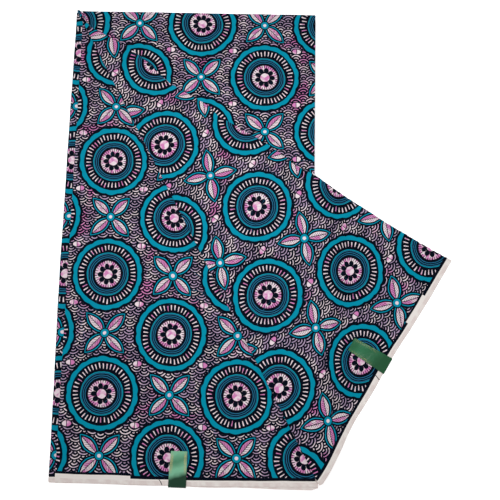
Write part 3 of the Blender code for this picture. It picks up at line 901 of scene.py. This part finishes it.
class Board:
    """A node tree on which fields and colours are laid, by their place on the cloth."""

    def __init__(self, tree):
        self.tree = tree

    def fill(self, node, inputs):
        """Gives each named input another node's output, or a value of its own."""
        for name, value in inputs.items():
            value = value.socket if isinstance(value, Field) else value
            if isinstance(value, bpy.types.NodeSocket):
                self.tree.links.new(value, node.inputs[name])
            else:
                node.inputs[name].default_value = value
        return node

    def add(self, kind, inputs, **settings):
        node = self.tree.nodes.new("ShaderNode" + kind)
        for setting, value in settings.items():
            setattr(node, setting, value)
        return self.fill(node, inputs)

    def field(self, kind, inputs, output=0, **settings):
        return Field(self, self.add(kind, inputs, **settings).outputs[output])

    def vector(self, x, y):
        return self.add("CombineXYZ", {0: x, 1: y}).outputs[0]

    def parts(self, vector):
        node = self.add("SeparateXYZ", {0: vector})
        return Field(self, node.outputs[0]), Field(self, node.outputs[1])

    def scaled(self, vector, *factors):
        return self.add("VectorMath", {0: vector, 1: factors}, operation="MULTIPLY").outputs[0]

    def flat_cloth(self):
        """The place on the flat cloth, in millimetres."""
        return self.scaled(self.add("UVMap", {}, uv_map="cloth").outputs[0], 1000, 1000, 0)

    def noise(self, vector, scale, detail):
        inputs = {"Vector": vector, "Scale": scale, "Detail": detail}
        return self.add("TexNoise", inputs, noise_dimensions="2D")

    def mottle(self, vector, scale, detail=2.0):
        return Field(self, self.noise(vector, scale, detail).outputs[0])

    def swayed(self, vector, scale, amount):
        """The vector moved about a little, by noise of the given scale."""
        noise = self.noise(vector, scale, 1.0).outputs["Color"]
        centring = {0: noise, 1: (2 * amount, 2 * amount, 0), 2: (-amount, -amount, 0)}
        shift = self.add("VectorMath", centring, operation="MULTIPLY_ADD").outputs[0]
        return self.add("VectorMath", {0: vector, 1: shift}).outputs[0]

    def cells(self, vector, scale, **settings):
        inputs = {"Vector": vector, "Scale": scale}
        return self.add("TexVoronoi", inputs, voronoi_dimensions="2D", **settings).outputs

    def veins(self, vector, scale):
        """The way from the nearest edge between uneven cells, as cracks in wax run."""
        return Field(self, self.cells(vector, scale, feature="DISTANCE_TO_EDGE")["Distance"]) / scale

    def specks(self, vector, scale, radius, share):
        """1 in small round dots, of which only a share are there."""
        cells = self.cells(vector, scale)
        red, _ = self.parts(cells["Color"])
        return Field(self, cells["Distance"]).under(radius * scale, 0.1) * red.under(share, 0.01)

    def coated(self, base, *coats):
        """Coats of colour laid over the base one after another, each where its mask is 1."""
        for colour, mask in coats:
            base = self.add("Mix", {0: mask, 6: base, 7: colour}, data_type="RGBA").outputs[2]
        return base


def far_out(x, y):
    """The length of the way x, y."""
    return (x * x + y * y).math("SQRT")


# The print, in millimetres on the flat cloth

WIDTH = 1200.0
REPEAT = (166.0, 146.0)
SCALE_RADIUS = 10.0
SCALE_STEP = SCALE_RADIUS / 2
SCALE_RIM = 0.7
LINE_PITCH = 3.4

# A sprig's leaf, the lines round it, its veins, and the rings of the dot in the middle
LEAF_MIDDLE, LEAF_HALF_LENGTH, LEAF_HALF_WIDTH = 17.5, 13.0, 4.6
LEAF_OUTLINE, LEAF_BAND, LEAF_LINE = 5.2, 3.2, 1.9
VEIN_PITCH, VEIN_SLANT, VEIN, RIB = 2.9, 1.1, 0.36, 0.45
DOT_OUTLINE, DOT_BAND, DOT = 6.6, 5.2, 2.2

# A bud's outline, its body, and the split in it
BUD_OUTLINE, BUD, BUD_SPLIT, BUD_SPLIT_REACH = 5.4, 3.9, 0.45, 4.2

# A roundel, from its scalloped rim in to its hub
SCALLOPS, SCALLOP_DEPTH = 9.0, 1.3
RIM_OUTLINE, RIM_BAND, RAY_GROUND = 46.2, 43.1, 38.7
LONG_RAYS, LONG_RAY_SPAN, LONG_RAY_HALF = 46, (28.4, 34.6), 0.30
RING_EDGE, RINGS_OUTER, RINGS_INNER, RING_PITCH, RING = 26.4, 25.4, 18.7, 2.3, 0.42
SHORT_RAYS, SHORT_RAY_SPAN, SHORT_RAY_HALF = 33, (14.0, 18.6), 0.40
FACE, BEADS, BEAD_CIRCLE, BEAD = 16.2, 9, 9.9, 3.2
HUB_RING = (5.7, 7.9)

# The edge of the cloth, in from the selvedge
EDGE_WAVE = 1.2
LONG_BOX, SHORT_BOX, BOX_DEPTH = (542.2, 640.0), (57.0, 97.0), 10.0
LINE_END, LINE_DROP = 10.2, 2.6
SELVEDGE, SELVEDGE_LINE = 6.6, (4.8, 6.5)
TICKS, TICK_SLANT, TICK_HALF, TICK_SPAN = (172.5, 505.2), 0.45, 0.5, (0.2, 7.2)


def fish_scales(place_x, place_y):
    """The way out from the middle of the overlapping fish scale that a place lies on."""
    row = (place_y / SCALE_STEP).floor()
    up = place_y - row * SCALE_STEP
    shift = (row * 0.5).math("FRACT") * (2 * SCALE_RADIUS)
    own = (place_x - shift).wrapped(2 * SCALE_RADIUS)
    next_one = (place_x - shift - SCALE_RADIUS).wrapped(2 * SCALE_RADIUS)
    front = far_out(next_one, up + SCALE_STEP)
    middle = far_out(own, up)
    back = far_out(next_one, up - SCALE_STEP)
    nearer = back.swapped(middle, middle.under(SCALE_RADIUS, 0.01))
    return nearer.swapped(front, front.under(SCALE_RADIUS, 0.01))


def rays(angle, out, count, seed):
    """Round a circle, the way aside from the nearest of some rays, and a random number for each ray."""
    turn = angle * (count / (2 * math.pi)) + count
    index = turn.floor()
    aside = (turn - index - 0.5).size() * out * (2 * math.pi / count)
    return aside, (index + seed).random()


def ground(board, vector, pale):
    """Fish scales of dark lines, thicker in some places than in others."""
    line = (fish_scales(*board.parts(vector)) - SCALE_RADIUS + SCALE_RIM).wrapped(LINE_PITCH).size()
    thickness = board.mottle(vector, 0.05) * 0.8 + 0.78
    return board.coated(pale, (NAVY, (line - thickness).under(0.0, 0.4)))


def sprig(board, base, pale, pink, x, y):
    """Four leaves round a dot."""
    ahead = (x.size() + y.size()) * math.sqrt(0.5)
    aside = (x.size() - y.size()) * math.sqrt(0.5)
    along = (ahead - LEAF_MIDDLE) / LEAF_HALF_LENGTH
    leaf = aside.size() + along * along * LEAF_HALF_WIDTH - LEAF_HALF_WIDTH
    vein = (ahead - aside.size() * VEIN_SLANT).wrapped(VEIN_PITCH).size().under(VEIN)
    dot = far_out(x, y)
    return board.coated(
        base,
        (NAVY, leaf.under(LEAF_OUTLINE)),
        (TEAL, leaf.under(LEAF_BAND)),
        (NAVY, leaf.under(LEAF_LINE)),
        (board.coated(pale, (pink, aside.under(0.0))), leaf.under(0.0)),
        (NAVY, vein * leaf.under(-0.8)),
        (NAVY, aside.size().under(RIB) * leaf.under(0.0)),
        (NAVY, dot.under(DOT_OUTLINE)),
        (TEAL, dot.under(DOT_BAND)),
        (pale, dot.under(DOT)),
    )


def bud(board, base, pale, pink, x, y):
    """A small split seed with a dark outline."""
    out = (x * x * 0.55 + y * y * 1.5).math("SQRT")
    return board.coated(
        base,
        (NAVY, out.under(BUD_OUTLINE)),
        (board.coated(pale, (pink, x.under(0.0))), out.under(BUD)),
        (NAVY, x.size().under(BUD_SPLIT) * out.under(BUD_SPLIT_REACH)),
    )


def roundel(board, base, pale, pink, x, y, cell):
    """A wheel of beads, rays and rings inside a scalloped band."""
    out = far_out(x, y)
    angle = y.math("ARCTAN2", x)
    rim = out - (angle * SCALLOPS).math("SINE").size() * SCALLOP_DEPTH
    aside, chance = rays(angle, out, LONG_RAYS, cell)
    long_ray = (aside - (out - 28.0) * 0.06).under(LONG_RAY_HALF)
    long_ray = long_ray * (out - chance * 2.4).within(*LONG_RAY_SPAN)
    ray_colour = board.coated(pale, (pink, chance.under(0.15, 0.01)))
    rings = board.coated(NAVY, (LINE_BLUE, (out - 20.0).wrapped(RING_PITCH).size().under(RING)))
    aside, chance = rays(angle, out, SHORT_RAYS, cell + 61.0)
    short_ray = (aside - (out - 13.0) * 0.03).under(SHORT_RAY_HALF)
    short_ray = short_ray * (out + chance * 2.0).within(*SHORT_RAY_SPAN)
    blotches = board.mottle(board.vector(x, y), 0.11).under(0.5, 0.1)
    bead = far_out(angle.wrapped(2 * math.pi / BEADS) * out, out - BEAD_CIRCLE)
    return board.coated(
        base,
        (NAVY, rim.under(RIM_OUTLINE)),
        (TEAL, rim.under(RIM_BAND)),
        (NAVY, out.under(RAY_GROUND)),
        (ray_colour, long_ray),
        (LIGHT_TEAL, out.under(RING_EDGE)),
        (rings, out.under(RINGS_OUTER)),
        (NAVY, out.under(RINGS_INNER)),
        (board.coated(pale, (pink, blotches), (NAVY, short_ray)), out.under(FACE)),
        (NAVY, bead.under(BEAD)),
        (NAVY, out.within(*HUB_RING)),
    )


def border(board, base, across, along, vector):
    """The plain selvedges and the dark line inside them, with bare boxes and slanted ticks."""
    edge = across.least(across * -1.0 + WIDTH) + (board.mottle(vector, 0.02) - 0.5) * EDGE_WAVE
    top_edge = across.math("GREATER_THAN", WIDTH / 2)
    box = along.within(*LONG_BOX).most(along.within(*SHORT_BOX))
    line_end = box * top_edge * LINE_DROP + LINE_END
    bare = board.coated(SELVEDGE_BEIGE, (SELVEDGE_PALE, board.mottle(vector, 0.09).under(0.45, 0.3)))
    lean = edge * TICK_SLANT
    tick = (along - TICKS[0] + lean).size().least((along - TICKS[1] - lean).size())
    return board.coated(
        base,
        (NAVY, (edge - line_end).under(0.0)),
        (SELVEDGE_PALE, box * top_edge * edge.under(BOX_DEPTH)),
        (bare, edge.under(SELVEDGE)),
        (SELVEDGE_PALE, edge.within(*SELVEDGE_LINE)),
        (NAVY, tick.under(TICK_HALF) * edge.within(*TICK_SPAN) * top_edge),
    )


def nearest(first, second):
    """The shorter of two ways, each of them x and y."""
    (x, y), (other_x, other_y) = first, second
    choice = (x * x + y * y).math("GREATER_THAN", other_x * other_x + other_y * other_y)
    return x.swapped(other_x, choice), y.swapped(other_y, choice)


def motifs(board, base, pale, pink, places):
    """Roundels in a half-drop, sprigs between them, and a bud in each gap."""
    near = [place.wrapped(repeat) for place, repeat in zip(places, REPEAT)]
    far = [(place - repeat / 2).wrapped(repeat) for place, repeat in zip(places, REPEAT)]
    between = [(place - repeat / 4).wrapped(repeat / 2) for place, repeat in zip(places, REPEAT)]
    wheel = nearest(near, far)
    column, row = ((place - way) * (2 / repeat) for place, way, repeat in zip(places, wheel, REPEAT))
    cell = column.math("ROUND") * 7.0 + row.math("ROUND") * 131.0
    colour = sprig(board, base, pale, pink, *nearest((far[0], near[1]), (near[0], far[1])))
    colour = bud(board, colour, pale, pink, *between)
    return roundel(board, colour, pale, pink, *wheel, cell)


def wax_print():
    """A node group that gives the print's colour at a place on the flat cloth, in millimetres."""
    tree = bpy.data.node_groups.new("wax_print", "ShaderNodeTree")
    tree.interface.new_socket("Cloth", in_out="INPUT", socket_type="NodeSocketVector")
    tree.interface.new_socket("Color", in_out="OUTPUT", socket_type="NodeSocketColor")
    board = Board(tree)
    flat = tree.nodes.new("NodeGroupInput").outputs[0]
    drawn = board.swayed(board.swayed(flat, 0.025, 1.5), 0.24, 0.32)
    blotch = board.mottle(flat, 0.06, 3.0)
    pale = board.coated(PALE, (PINK, blotch.under(0.36, 0.12)))
    pink = board.coated(PINK, (PALE, blotch.under(0.42, 0.14)))
    pink_patches = board.mottle(flat, 0.022).under(0.34, 0.1)
    ground_pale = board.coated(MAUVE, (PALE, blotch.under(0.47, 0.1)), (PINK, pink_patches))
    colour = ground(board, drawn, ground_pale)
    colour = motifs(board, colour, pale, pink, board.parts(drawn))
    crack = board.veins(board.swayed(flat, 0.1, 3.0), 0.035).under(0.22, 0.3)
    patchy = ((board.mottle(flat, 0.012) - 0.46) * 1.6).most(0.0)
    colour = board.coated(colour, (LINE_BLUE, crack * patchy))
    along, across = board.parts(flat)
    colour = border(board, colour, across, along, flat)
    board.fill(tree.nodes.new("NodeGroupOutput"), {0: colour})
    return tree


# Materials

BUMP_DISTANCE = 0.0003
THREAD_PITCH = 0.45
SATIN_PITCH = 0.32


def new_material(name):
    material = bpy.data.materials.new(name)
    material.use_nodes = True
    material.node_tree.nodes.clear()
    board = Board(material.node_tree)
    shader = board.add("BsdfPrincipled", {})
    board.add("OutputMaterial", {0: shader.outputs[0]})
    return material, board, shader


def bumped(board, height, strength):
    inputs = {"Strength": strength, "Distance": BUMP_DISTANCE, "Height": height}
    return board.add("Bump", inputs).outputs[0]


def ridges(place, pitch):
    """From -1 to 1 and back, once in each pitch."""
    return (place * (2 * math.pi / pitch)).math("SINE")


def printed_cotton(name, print_group):
    """Plain weave cotton with the print on it, lightly glazed."""
    material, board, shader = new_material(name)
    flat = board.flat_cloth()
    printed = board.add("Group", {0: flat}, node_tree=print_group)
    x, y = board.parts(flat)
    slubs = board.mottle(board.scaled(flat, 0.05, 1.9, 0), 1.0)
    slubs = slubs + board.mottle(board.scaled(flat, 1.9, 0.05, 0), 1.0)
    weave = ridges(x, THREAD_PITCH) * ridges(y, THREAD_PITCH)
    height = weave * 0.10 + slubs * 0.35 + board.mottle(flat, 0.035, 3.0) * 2.2
    look = {
        "Base Color": board.coated(printed.outputs[0], (FADED, (slubs - 0.9).most(0.0) * 0.012)),
        "Normal": bumped(board, height, 0.6),
        "Roughness": board.mottle(flat, 0.15) * 0.14 + 0.52,
        "Specular IOR Level": 0.02,
    }
    board.fill(shader, look)
    return material


def satin(name, sizes, light, middle, dark, gilded):
    """Green satin ribbon, lighter over its inner part as a painted highlight with a darker band of painted
    half light across that, and painted shade at its outer end where it curls over the edge, dusted with gold
    at its long edges."""
    material, board, shader = new_material(name)
    flat = board.flat_cloth()
    side, run = board.parts(flat)
    half, length = sizes["width"] * 500, sizes["length"] * 1000
    share = run / length + 1.0
    # Painted highlight and shade: the lighter green over the inner part, a middle green band across it, and
    # the darker green left at the outer end, where the ribbon curls over the edge
    gleam = share + side * 0.009 + (board.mottle(flat, 0.05) - 0.5) * 0.3
    painted_light_bands = ((light, gleam.under(0.70, 0.16)), (middle, gleam.within(0.16, 0.40, 0.22) * 0.75))
    edge = side.size() * -1.0 + half
    reach = board.mottle(flat, 0.2) * 1.6 + 2.6
    fleck = board.specks(flat, 2.4, 0.16, gilded) * (edge - reach).under(0.0, 1.6)
    fleck = fleck * edge.math("GREATER_THAN", 0.3) * share.within(0.05, 0.60, 0.15)
    weave = ridges(run, SATIN_PITCH)
    look = {
        "Base Color": board.coated(dark, *painted_light_bands, (GOLD, fleck)),
        "Normal": bumped(board, weave * 0.08 + fleck * 0.3 + board.mottle(flat, 0.09) * 4.0, 0.5),
        "Metallic": fleck * 0.4,
        "Roughness": weave * 0.02 + 0.34,
        "Specular IOR Level": 0.35,
        "Anisotropic": 0.4,
    }
    board.fill(shader, look)
    return material


def floor_material():
    material, board, shader = new_material("floor_paper")
    patches = board.mottle(board.add("TexCoord", {}).outputs["Object"], 3.0)
    look = {
        "Base Color": board.coated(PAPER, (PAPER_SHADE, patches)),
        "Roughness": 0.8,
        "Specular IOR Level": 0.1,
        "Emission Color": WHITE,
        "Emission Strength": 0.6,
    }
    board.fill(shader, look)
    return material


# Surroundings

FLOOR_HALF = 12.0
FLOOR_Z = -0.0002
SPOT_AIM = Vector((0.0, 0.035, 0.0))
SPOT_PLACE = Vector((-0.55, 0.65, 1.75))


def add_floor():
    mesh = bpy.data.meshes.new("floor")
    corners = [(x * FLOOR_HALF, y * FLOOR_HALF, FLOOR_Z) for x, y in ((-1, -1), (1, -1), (1, 1), (-1, 1))]
    mesh.from_pydata(corners, [], [(0, 1, 2, 3)])
    mesh.materials.append(floor_material())
    return linked("floor", mesh)


def add_lights():
    """Even light from all round, and a soft pool of light from the left that brings out the creases."""
    world = bpy.data.worlds.new("studio")
    world.use_nodes = True
    background = world.node_tree.nodes["Background"]
    background.inputs["Color"].default_value = WHITE
    background.inputs["Strength"].default_value = 0.50
    bpy.context.scene.world = world
    lamp = bpy.data.lights.new("soft_spot", "SPOT")
    lamp.spot_size = math.radians(33.0)
    lamp.spot_blend = 1.0
    lamp.shadow_soft_size = 0.35
    lamp.energy = 121.0
    spot = linked("soft_spot", lamp)
    spot.location = SPOT_PLACE
    spot.rotation_euler = (SPOT_PLACE - SPOT_AIM).to_track_quat("Z", "Y").to_euler()


def add_camera():
    data = bpy.data.cameras.new("camera")
    data.lens = 43.2
    data.sensor_width = 36.0
    camera = linked("camera", data)
    camera.location = (-0.0215, -0.1213, 0.7579)
    camera.rotation_euler = [math.radians(angle) for angle in (8.118, -0.936, 0.485)]
    bpy.context.scene.camera = camera


# The pieces, and what each stands for


def belong(piece, slot, *nodes):
    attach(piece, "root")
    if nodes:
        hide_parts(*nodes)
    return piece


cotton = wax_print()
layers_look = printed_cotton("print_cotton_layers", cotton)
second_look = printed_cotton("print_cotton_second", cotton)
top_look = printed_cotton("print_cotton_top", cotton)
corner_look = printed_cotton("print_cotton_corner", cotton)
# Each label's satin gets its painted highlight, painted half light and painted shade greens
main_satin = satin("label_satin_main", MAIN_LABEL, SATIN_PAINTED_HIGHLIGHT, SATIN_PAINTED_HALF_LIGHT, SATIN_PAINTED_SHADE, 0.85)
corner_satin = satin("label_satin_corner", CORNER_LABEL, SATIN_PAINTED_DIM_HIGHLIGHT, SATIN_PAINTED_HALF_LIGHT, SATIN_CORNER_PAINTED_SHADE, 0.3)

layers = belong(hidden_layers(layers_look), "print_cotton_layers", "folded_layers")
layers_ends = belong(lowest_threads(layers_look), "print_cotton_layers")
second = belong(second_panel(second_look), "print_cotton_second", "second_panel")
top = belong(top_panel(top_look), "print_cotton_top", "top_panel")
corner = belong(folded_corner(corner_look), "print_cotton_corner", "folded_corner")
corner_ends = belong(corner_threads(corner_look), "print_cotton_corner")
main_label = ribbon("main_label", MAIN_LABEL, MAIN_CURL, main_label_place, main_satin)
belong(main_label, "label_satin_main", "edge_label_main")
corner_label = ribbon("corner_label", CORNER_LABEL, CORNER_CURL, corner_label_place, corner_satin)
belong(corner_label, "label_satin_corner", "edge_label_corner")

add_floor()
add_lights()
add_camera()
bpy.context.scene.view_settings.view_transform = "Standard"
